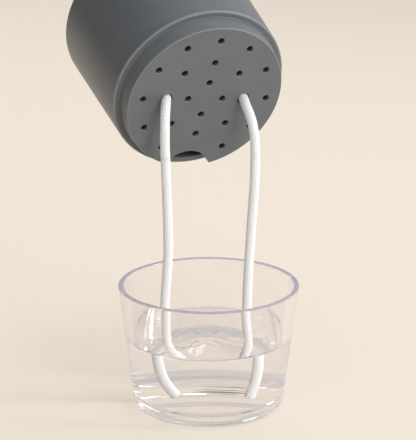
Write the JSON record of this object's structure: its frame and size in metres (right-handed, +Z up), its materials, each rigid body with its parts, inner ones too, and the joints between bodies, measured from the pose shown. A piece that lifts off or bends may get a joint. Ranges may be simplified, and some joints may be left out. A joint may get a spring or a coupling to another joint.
{
  "type": "self-watering pot",
  "caption": "Drilled plastic pot lifted and tipped over a clear reservoir cup, with a cotton wick hanging from its base into the cup; the pot lowers upright onto the cup's rim.",
  "frame": {"origin": "centre of the reservoir's flat foot, on the surface that it stands on", "axes": "+Z up, +X to the right and +Y away as seen from the side that the pot's base is tipped towards"},
  "size_m": [0.1492, 0.1695, 0.2919],
  "materials": {
    "clear_plastic": "clear, polished",
    "grey_plastic": "satin moulded",
    "cotton": "braided cotton cord"
  },
  "bodies": {
    "reservoir": {"reservoir": "clear_plastic"},
    "wicks": {"wick_left": "cotton", "wick_right": "cotton"},
    "pot": {"pot": "grey_plastic", "filling_duct": "grey_plastic", "wick_bridge": "cotton"}
  },
  "joints": [
    {"name": "pot_lift", "type": "slide", "parent": "reservoir", "child": "wicks", "axis": [-0.0153, 0, 0.9999], "range_m": [-0.13101, 0], "deforming": ["wick_left", "wick_right"]},
    {"name": "pot_tilt", "type": "hinge", "parent": "wicks", "child": "pot", "pos_m": [-0.002, 0, 0.2011], "axis": [0.9193, 0.3936, 0], "range_deg": [0, 67.74]}
  ],
  "couplings": [
    {"joint": "pot_tilt", "follows": "pot_lift", "rad_per_m": -9.0238}
  ]
}
